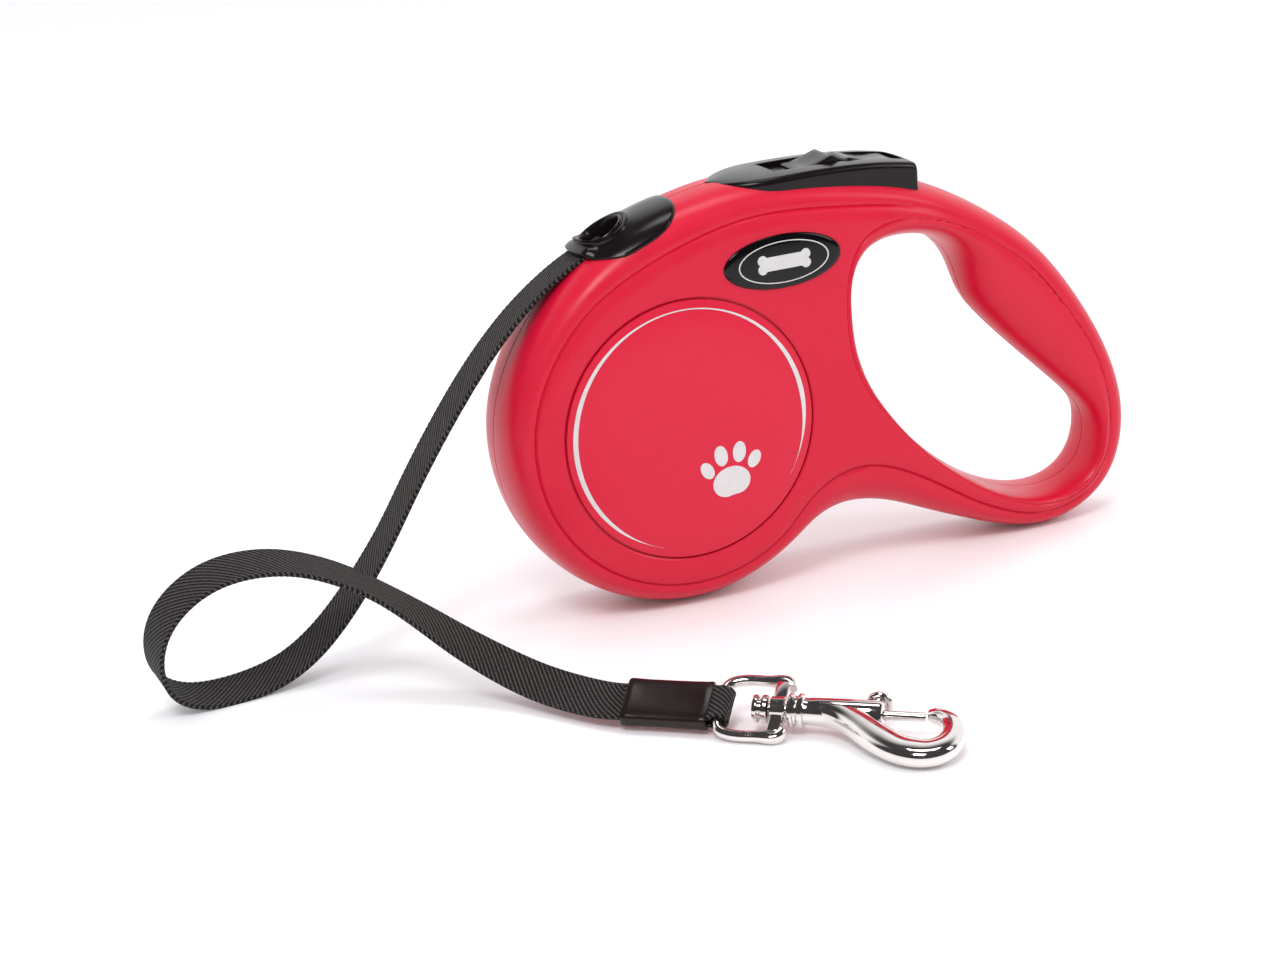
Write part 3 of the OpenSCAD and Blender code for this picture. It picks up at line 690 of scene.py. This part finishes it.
# Hook: rivet head, neck, grooved collar and shank turned about X, with the arm swept on.
# The arm's points are x, y, and half its width and thickness
ARM = [
    (43.5, 0.1, 2.7, 2.7), (45.5, -0.3, 2.95, 2.85), (48.9, -1.8, 3.1, 2.7), (52.3, -4.4, 3.3, 2.6),
    (55.2, -7.2, 3.4, 2.5), (58.3, -9.9, 3.5, 2.4), (61.6, -12.1, 3.6, 2.3), (65, -13.4, 3.7, 2.3),
    (68.3, -13.5, 3.6, 2.2), (70.9, -12, 3.2, 2.2), (72.4, -9.2, 2.8, 2.1), (72.7, -5.6, 2.4, 2.0),
    (71.5, -2, 2.1, 1.9), (69.3, 0.1, 1.8, 1.8), (67.6, 0.7, 1.65, 1.6), (66.3, 0.85, 1.1, 1.1)]
arm = open_curve(ARM, 6)
arm_path = [(p[0], p[1], 0) for p in arm]
arm_mesh = sweep(arm_path, [(0, 0, 1)] * len(arm_path), [oval(p[3], p[2], 28, 2.7) for p in arm])
turned = lathe([
    (28.5, 0), (28.5, 2.5), (28.75, 3.0), (29.1, 3.1), (29.6, 3.05), (29.85, 2.5), (30.15, 2.3), (30.45, 2.5),
    (30.7, 3.05), (31.2, 3.1), (31.75, 3.0), (31.95, 2.6), (32, 1.3), (36.35, 1.3), (36.4, 3.3), (36.65, 3.7),
    (37.1, 3.8), (37.5, 3.65), (37.75, 3.25), (38.1, 3.15), (38.45, 3.3), (38.7, 3.7), (39.3, 3.8),
    (39.75, 3.6), (39.95, 2.95), (40.5, 2.85), (41.3, 2.95), (43, 3.05), (48, 3.1), (56.2, 3.05),
    (56.75, 2.8), (57, 2.3), (57, 1.13), (56, 1.13)], 48)
hook = make("snap_hook_cast", *merge(arm_mesh, turned), chrome, 32, HOOK)
KNOB_X, KNOB_Y, KNOB_R = 55.2, 4.25, 2.2
ring_rings = []
for j in range(40):
    a = 2 * math.pi * j / 40
    ring_rings.append([(KNOB_X + (KNOB_R + r * 0.8) * math.cos(a), KNOB_Y + s * 0.75,
                        (KNOB_R + r * 0.8) * math.sin(a)) for r, s in oval(1, 1, 16, 2.4)])
knob_stem = [[(KNOB_X + r * c, y, r * s) for c, s in oval(1, 1, 20)] for y, r in (
    (0.4, 0.6), (3.2, 0.6), (3.6, 1.0), (3.8, 1.7), (4.3, 1.75), (4.5, 1.5))]
bolt_rod = lathe([(51.4, 0), (51.4, 1.05), (65.5, 1.05), (65.9, 0.7), (65.9, 0)], 32)
bolt = make("snap_bolt_turned", *merge(
    grid_mesh(ring_rings + [ring_rings[0]]), grid_mesh(knob_stem, (True, True)), bolt_rod), chrome, 32, HOOK)

for piece, body, nodes, slot in (
        (tape, "housing", ["leash_tape"], "webbing"), (sleeve, "housing", ["tape_sleeve"], "sleeve"),
        (loop, "housing", ["tape_loop"], "webbing"), (swivel, "swivel", ["swivel_frame"], "chrome"),
        (hook, "hook", ["snap_hook"], "chrome"), (bolt, "bolt", ["snap_bolt"], "chrome")):
    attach(piece, body)
    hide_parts(*nodes)


# ---------------------------------------------------------------- label and badge
PRINT_T = 0.06          # how far the printed figures stand off the label


def disc_mesh(r, base, top):
    """A round label with a softened edge; top and base are distances from the parting plane."""
    profile = [(base, r), (top - 0.25, r), (top - 0.08, r - 0.08), (top, r - 0.28), (top, r * 0.66),
               (top, r * 0.33)]
    rings = [[(ring_r * math.cos(2 * math.pi * j / 144), -y, ring_r * math.sin(2 * math.pi * j / 144))
              for j in range(144)] for y, ring_r in profile]
    return grid_mesh(rings, (True, True))


def spot(x, z, cx, cz, turn):
    """A point of a flat figure that is turned by degrees about its middle at cx, cz."""
    c, s = math.cos(math.radians(turn)), math.sin(math.radians(turn))
    return cx + x * c - z * s, cz + x * s + z * c


def flat_shape(outline_points, y, thick=PRINT_T):
    """A thin raised figure on the face, from points in X and Z."""
    n = len(outline_points)
    verts = [(x, -y, z) for x, z in outline_points] + [(x, -y - thick, z) for x, z in outline_points]
    faces = [tuple(range(n, 2 * n))]
    faces += [(i, (i + 1) % n, (i + 1) % n + n, i + n) for i in range(n)]
    return verts, faces


def blob(cx, cz, a, b, turn, n=40, dent=0.0):
    """An oval figure, with a dent in its lower side if one is asked for."""
    out = []
    for j in range(n):
        w = 2 * math.pi * j / n
        k = 1 - dent * math.exp(-((w - 1.5 * math.pi) / 0.45) ** 2)
        out.append(spot(a * k * math.cos(w), b * k * math.sin(w), cx, cz, turn))
    return out


def label_ring():
    """Silver line round the label: it swells at the sides and tapers to nothing at its two ends."""
    verts, faces = [], []
    n, mid_r = 200, 29.4
    start, end = math.radians(-108), math.radians(-392)
    for i in range(n + 1):
        k = i / n
        a = start + (end - start) * k
        swell = 0.62 + 0.38 * math.cos(2 * a)
        taper = smoothstep(k / 0.10) * smoothstep((1 - k) / 0.16)
        w = max(0.02, 0.62 * swell * taper)
        for r, y in ((mid_r - w, 0.0), (mid_r - w, PRINT_T), (mid_r + w, PRINT_T), (mid_r + w, 0.0)):
            verts.append((r * math.cos(a), -HALF_T - y, r * math.sin(a)))
    for i in range(n):
        for j in range(4):
            faces.append((i * 4 + j, i * 4 + (j + 1) % 4, i * 4 + 4 + (j + 1) % 4, i * 4 + 4 + j))
    faces += [(0, 1, 2, 3), tuple(n * 4 + j for j in range(4))]
    return verts, faces


PAW = Vector((9.5, -12.5))
paw = [blob(PAW.x, PAW.y - 2.2, 4.9, 3.9, 8, dent=0.16)]
for dx, dz, a, b, turn in ((-6.1, 1.6, 1.55, 2.3, 32), (-2.4, 4.7, 1.7, 2.6, 10), (2.4, 5.0, 1.7, 2.6, -8),
                           (6.2, 2.6, 1.55, 2.3, -30)):
    paw.append(blob(PAW.x + dx, PAW.y + dz, a, b, turn))
printed = merge(label_ring(), *[flat_shape(p, HALF_T) for p in paw])

BADGE = (25.8, 37.3, 15.2, 6.5, 1.5)        # middle, half length, half height and turn


def badge_mesh():
    """Domed resin oval on the face."""
    cx, cz, a, b, turn = BADGE
    rings = []
    for k, y in ((1.0, -0.6), (1.0, 0.12), (0.99, 0.34), (0.965, 0.52), (0.93, 0.64), (0.86, 0.76), (0.7, 0.90),
                 (0.5, 1.0), (0.25, 1.06), (0.08, 1.07)):
        half_z = b - a * 0.55 * (1 - k) if k > 0.7 else (b - a * 0.165) * k / 0.7
        rings.append([(x, -HALF_T - y, z) for x, z in blob(cx, cz, a * k, half_z, turn, 96)])
    return grid_mesh(rings, (True, True))


def oval_line(grow, width, lift):
    """The badge's silver outline: a flat band with short sides that sink into the dome."""
    cx, cz, a, b, turn = BADGE
    verts, faces, n = [], [], 120
    for j in range(n):
        w = 2 * math.pi * j / n
        thin = width * (0.7 + 0.3 * math.cos(w) ** 2)
        for k in (-thin, thin):
            x, z = spot((a * grow + k) * math.cos(w), (b * grow + k) * math.sin(w), cx, cz, turn)
            verts += [(x, -HALF_T - lift, z), (x, -HALF_T - lift + 0.12, z)]
    for j in range(n):
        p, q = j * 4, (j + 1) % n * 4
        faces += [(p, p + 2, q + 2, q), (p, q, q + 1, p + 1), (p + 2, p + 3, q + 3, q + 2)]
    return verts, faces


def bone(cx, cz, half_len, r, turn):
    """A plain bone, the badge's generic figure."""
    right = [(half_len + r * math.cos(math.radians(a)), 0.85 * r + r * math.sin(math.radians(a)))
             for a in range(150, -61, -15)]
    right += [(x, -z) for x, z in right[::-1]]
    left = [(-x, -z) for x, z in right]
    return [spot(x, z, cx, cz, turn) for x, z in right + left]


badge_print = merge(oval_line(0.76, 0.17, 0.92),
                    flat_shape(bone(BADGE[0], BADGE[1], 5.6, 1.25, BADGE[4]), HALF_T + 1.0, 0.12))
for side, turn in (("front", Matrix.Identity(4)), ("rear", Matrix.Scale(-1, 4, (0, 1, 0)))):
    place = Matrix.Translation(REEL) @ turn
    for name, mesh, material, node, slot_name in (
            ("label_disc", disc_mesh(31.55, 13.02, 14.0), label_red, "label", "label"),
            ("label_print", printed, silver_ink, None, "label"),
            ("badge_dome", badge_mesh(), badge_black, "badge", "badge"),
            ("badge_print", badge_print, silver_ink, None, "badge")):
        o = make(side + "_" + name, *mesh, material, 40, place)
        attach(o, "housing")
        if node:
            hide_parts(side + "_" + node)


# ---------------------------------------------------------------- tape guide
GUIDE_RIM_W = 7.7       # width of the casing's rounded rim at the guide


def section_table():
    """Inset and depth of the rim's section against the distance round it from the parting plane."""
    rows, last, run = [], None, 0.0
    for i in range(91):
        a = math.radians(90 - i)
        p = (GUIDE_RIM_W * (1 - math.sin(a) ** (2 / RIM_POWER)),
             (HALF_T - CREASE) * max(0.0, math.cos(a)) ** (2 / RIM_POWER))
        if last:
            run += math.hypot(p[0] - last[0], p[1] - last[1])
        rows.append((run, p[0], p[1]))
        last = p
    return np.array(rows)


SECTION = section_table()
top_edge = outline[np.argsort(outline[:, 0])]
top_edge = np.array([p for p in top_edge if p[1] > 30 and -34 < p[0] < 30])
edge_run = np.concatenate([[0], np.cumsum(np.hypot(*np.diff(top_edge[:, :2], axis=0).T))])
edge_run -= np.interp(-15.2, top_edge[:, 0], edge_run)


def on_casing(u, v, lift):
    """A point u along the top edge from the guide's eye and v round the rim, lifted off the casing."""
    def at(u):
        return np.array([np.interp(u, edge_run, top_edge[:, 0]), np.interp(u, edge_run, top_edge[:, 1])])
    p, t = at(u), at(u + 0.6) - at(u - 0.6)
    t /= np.linalg.norm(t)
    out = np.array([-t[1], t[0]])
    run = min(abs(v), SECTION[-1, 0] - 0.2)
    inset, depth = (np.interp(run, SECTION[:, 0], SECTION[:, k]) for k in (1, 2))
    i2, d2 = (np.interp(run + 0.15, SECTION[:, 0], SECTION[:, k]) for k in (1, 2))
    slope = np.array([i2 - inset, d2 - depth])
    slope /= np.linalg.norm(slope)
    r = -inset + lift * slope[1]
    y = math.copysign(depth + lift * slope[0], v if v else 1)
    return np.array([p[0] + out[0] * r, y, p[1] + out[1] * r])


def super_oval(a, b, w, power):
    """One point of an ellipse that a higher power makes squarer."""
    c, s = math.cos(w), math.sin(w)
    return (a * math.copysign(abs(c) ** (2 / power), c), b * math.copysign(abs(s) ** (2 / power), s))


def guide_mesh():
    """A saddle over the casing's top edge, with the eye that the tape comes out of."""
    n = 96
    rings = []
    # From under the rim of the saddle, over it, up the eye's lip and down inside: how far
    # from the saddle's edge (0) to the eye (1) and into it, and the lift off the casing
    levels = [(0.0, -0.9), (0.0, 0.0), (0.012, 0.32), (0.04, 0.52), (0.12, 0.62), (0.3, 0.66), (0.5, 0.68),
              (0.68, 0.72), (0.80, 0.8), (0.87, 0.9), (0.885, 1.25), (0.91, 1.55), (0.94, 1.62), (0.97, 1.5),
              (0.985, 1.2), (1.0, 1.15), (1.03, 1.3), (1.07, 1.7), (1.11, 1.85), (1.16, 1.7), (1.19, 1.2),
              (1.21, 0.2), (1.22, -1.6)]
    for k, lift in levels:
        ring = []
        for j in range(n):
            w = 2 * math.pi * j / n
            ou, ov = super_oval(13.3, 13.1, w, 2.6)
            ou += 6.2
            if w > math.pi / 2 and w < 1.5 * math.pi:
                ov *= 0.88 + 0.12 * smoothstep((ou + 7) / 9)
            eu, ev = super_oval(6.1, 5.9, w, 2.0)
            eu += 1.5
            if k <= 1:
                u, v = ou + (eu - ou) * k, ov + (ev - ov) * k
            else:
                u, v = 1.5 + (eu - 1.5) * (2 - k), ev * (2 - k)
            bridge = smoothstep((-1.5 - u) / 3.5) * smoothstep((7.6 - abs(v)) / 2.4)
            ring.append(on_casing(u, v, lift + (1.5 * bridge if lift > -0.5 or k > 1 else 1.4 * bridge)))
        rings.append(ring)
    return grid_mesh(rings)


guide = make("tape_guide_saddle", *guide_mesh(), black, 40, REEL)
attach(guide, "housing")
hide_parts("tape_guide")


# ---------------------------------------------------------------- bezel, brake button and slider
def smooth_line(points):
    """A function of X that runs smoothly through the points."""
    dense = open_curve(points, 8)
    return lambda x: float(np.interp(x, dense[:, 0], dense[:, 1]))


bezel_half_width = smooth_line([
    (13, 0.8), (13.5, 2.6), (15, 5.0), (19, 8.5), (24, 10.7), (29, 11.15), (36, 11.0), (50, 10.6), (62.5, 10.2),
    (64, 9.9), (64.8, 9.1)])
bezel_deck = smooth_line([
    (13, 55.7), (20, 56.55), (28, 57.05), (36, 57.3), (44, 57.3), (52, 56.95), (58, 56.35), (63, 55.6),
    (64.2, 55.2), (64.8, 54.3)])
bezel_foot = smooth_line([(13, 52.9), (21, 52.3), (30, 51.9), (40, 50.6), (50, 48.9), (64.8, 46.2)])


def rail(stations, inner, side):
    """The bezel's section along X: one side up to its inner wall, or the full width where inner is 0."""
    rings = []
    for x in stations:
        w, top, foot = bezel_half_width(x), bezel_deck(x), bezel_foot(x)
        r, crown = min(1.5, w * 0.5), 0.35
        ring = [(w, foot), (w + 0.02, foot + (top - foot) * 0.35), (w, top - r - 0.4)]
        for i in range(7):
            a = math.pi / 2 * i / 6
            ring.append((w - r + r * math.cos(a), top - r - crown + r * math.sin(a)))
        for k in (0.75, 0.5, 0.25, 0.0):
            y = inner + (w - r - inner) * k
            ring.append((y, top - crown * (y / max(w - r, 0.1)) ** 2))
        if inner > 0:
            ring[-1] = (inner + 0.15, ring[-1][1])
            ring.append((inner, top - 0.2))
            ring.append((inner, foot + 0.4))
        else:
            ring += [(-y, z) for y, z in ring[-2::-1]]
        rings.append([(x, side * y, z) for y, z in ring])
    return grid_mesh(rings, (True, True))


WINDOW = 5.6            # half the width of the opening for the slider and the button
front_x = [13, 13.15, 13.4, 13.8, 14.3, 15, 16] + list(np.linspace(17.2, 28.6, 12))
rail_x = list(np.linspace(28.6, 63, 24))
rear_x = [63, 63.5, 63.9, 64.2, 64.45, 64.65, 64.8]
parts = [rail(front_x, 0.0, 1), rail(rail_x, WINDOW, 1), rail(rail_x, WINDOW, -1), rail(rear_x, 0.0, 1)]
TRACK_Z, TRACK_BASE = 55.85, 52.6
# Floor of the slider's track, with a row of fine grooves in front of the slider
floor_rings = []
for x in np.linspace(28.4, 46.8, 38):
    z = TRACK_Z - (0.18 if 29.4 < x < 32.6 and int((x - 28.4) / 0.497) % 2 else 0)
    floor_rings.append([(x, -5.7, z), (x, 5.7, z), (x, 5.7, TRACK_BASE), (x, -5.7, TRACK_BASE)])
parts.append(grid_mesh(floor_rings, (True, True)))
bezel = make("button_bezel_cover", *merge(*parts), black, 32, REEL)


def lofted(stations, foot, edge):
    """A cap along X with rounded side edges, from a top line of x and z down to its foot."""
    half_w = 5.2
    rings = []
    for x, top in stations:
        ring = [(half_w, foot)]
        for i in range(6):
            a = math.pi / 2 * i / 5
            ring.append((half_w - edge + edge * math.cos(a), top - edge + edge * math.sin(a)))
        ring.append((half_w * 0.45, top - 0.12))
        ring += [(-y, z) for y, z in ring[::-1]]
        rings.append([(x, y, z) for y, z in ring])
    return grid_mesh(rings, (True, True))


button_top = [(47.4, 55.9), (47.5, 56.9), (47.8, 57.3), (48.7, 57.55), (50, 57.25), (52, 56.65), (54.5, 56.15),
              (57, 55.85), (59, 55.75), (60.4, 55.65), (61.4, 55.45), (62.1, 55.0), (62.4, 54.2)]
button = make("brake_button_cap", *lofted(button_top, 49, 0.7), black, 32, REEL)
FIN_FOOT = TRACK_Z + 0.1
fin_top = [(34.6, FIN_FOOT + 0.15), (34.7, 56.35), (35.2, 56.6), (37, 56.7), (38.6, 56.95), (40.4, 57.45),
           (42, 58.05), (43.2, 58.5), (44, 58.75), (44.5, 58.7)]
for i in range(3):          # steps down the fin's rear, for the thumb
    x, z = 44.65 + i * 0.6, 58.3 - i * 0.62
    fin_top += [(x, z), (x + 0.1, z - 0.32), (x + 0.38, z - 0.35), (x + 0.48, z - 0.12)]
fin_top += [(46.45, 56.5), (46.5, FIN_FOOT + 0.15)]
stem = grid_mesh([[(x, y, z) for y, z in ((-3, 52.2), (3, 52.2), (3, 56.1), (-3, 56.1))] for x in (37.8, 45.2)],
                 (True, True))
slider = make("lock_slider_fin", *merge(lofted(fin_top, FIN_FOOT, 0.5), stem), black, 32, REEL)
for piece, body, node in ((bezel, "housing", "button_bezel"), (button, "brake", "brake_button"),
                          (slider, "slider", "lock_slider")):
    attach(piece, body)
    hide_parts(node)

# The inner parts show their CAD solids
for names, material in (
        (("reel_body", "reel_cover"), reel_black), (("wound_tape", "tape_lead", "tape_seam"), webbing),
        (("axle", "axle_washers", "housing_screws", "mainspring", "brake_pawl", "button_spring", "bolt_spring"),
         steel)):
    for name in names:
        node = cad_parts[name]
        node.data.materials.clear()
        node.data.materials.append(material)


# ---------------------------------------------------------------- stage and light
def floor_material():
    color = (0.93, 0.93, 0.94)
    n = Nodes("floor_white").set(Roughness=0.3, Specular_IOR_Level=0.15)
    n.link(n.ramp(n.noise(3, 2), [(0.3, tuple(c * 0.99 for c in color)), (0.7, color)]), "Base Color")
    return n.m


floor_mesh = bpy.data.meshes.new("floor")
floor_mesh.from_pydata([(-4, -3, 0), (4, -3, 0), (4, 5, 0), (-4, 5, 0)], [], [(0, 1, 2, 3)])
floor = bpy.data.objects.new("floor", floor_mesh)
scene.collection.objects.link(floor)
floor_mesh.materials.append(floor_material())
world = bpy.data.worlds.new("world")
scene.world = world
world.use_nodes = True
sky = world.node_tree
direction = sky.nodes.new("ShaderNodeTexCoord").outputs["Generated"]


def sky_node(kind, values, **props):
    n = sky.nodes.new("ShaderNode" + kind)
    for k, v in props.items():
        setattr(n, k, v)
    for k, v in values.items():
        if hasattr(v, "is_output"):
            sky.links.new(v, n.inputs[k])
        else:
            n.inputs[k].default_value = v
    return n


def sky_step(value, low, high):
    """0 to 1 as a value goes from low to high."""
    return sky_node("MapRange", {"Value": value, "From Min": low, "From Max": high},
                    interpolation_type="SMOOTHSTEP").outputs["Result"]


# Reflections see a white backdrop behind the leash and a darker room in front of
# it; everything else is lit by an even white sky
height = sky_node("SeparateXYZ", {"Vector": direction}).outputs["Z"]
behind = sky_node("VectorMath", {0: direction, 1: (0.351, 0.936, 0)},
                  operation="DOT_PRODUCT").outputs["Value"]
backdrop = sky_node("Math", {0: sky_step(behind, 0.0, 0.22), 1: sky_step(height, 0.86, 0.66)},
                    operation="MULTIPLY").outputs[0]
room = sky_node("Mix", {"Factor": backdrop}, data_type="RGBA")
seen = [i for i in room.inputs if i.type == "RGBA"]
seen[0].default_value, seen[1].default_value = (0.055, 0.05, 0.052, 1), (1.1, 1.1, 1.12, 1)
both = sky_node("Mix", {}, data_type="RGBA")
sky.links.new(sky_node("LightPath", {}).outputs["Is Glossy Ray"], both.inputs["Factor"])
pair = [i for i in both.inputs if i.type == "RGBA"]
pair[0].default_value = (0.98, 0.98, 1.0, 1)
sky.links.new([o for o in room.outputs if o.type == "RGBA"][0], pair[1])
sky.links.new([o for o in both.outputs if o.type == "RGBA"][0], sky.nodes["Background"].inputs["Color"])
sky.nodes["Background"].inputs["Strength"].default_value = 1.0
scene.view_settings.view_transform = "Standard"


def light(name, at, size, power):
    """A rectangular studio lamp, aimed at the casing's middle."""
    lamp = bpy.data.lights.new(name, "AREA")
    lamp.shape = "RECTANGLE"
    lamp.size, lamp.size_y = size
    lamp.energy = power
    o = bpy.data.objects.new(name, lamp)
    scene.collection.objects.link(o)
    o.location = at
    o.rotation_euler = (Vector((0, 0, 0.05)) - Vector(at)).to_track_quat("-Z", "Y").to_euler()


light("key", (-0.45, -0.55, 0.95), (0.35, 0.35), 4)
light("fill", (0.65, -0.55, 0.55), (0.2, 0.5), 1.6)
light("top", (0.1, 0.15, 1.2), (0.5, 0.25), 2)
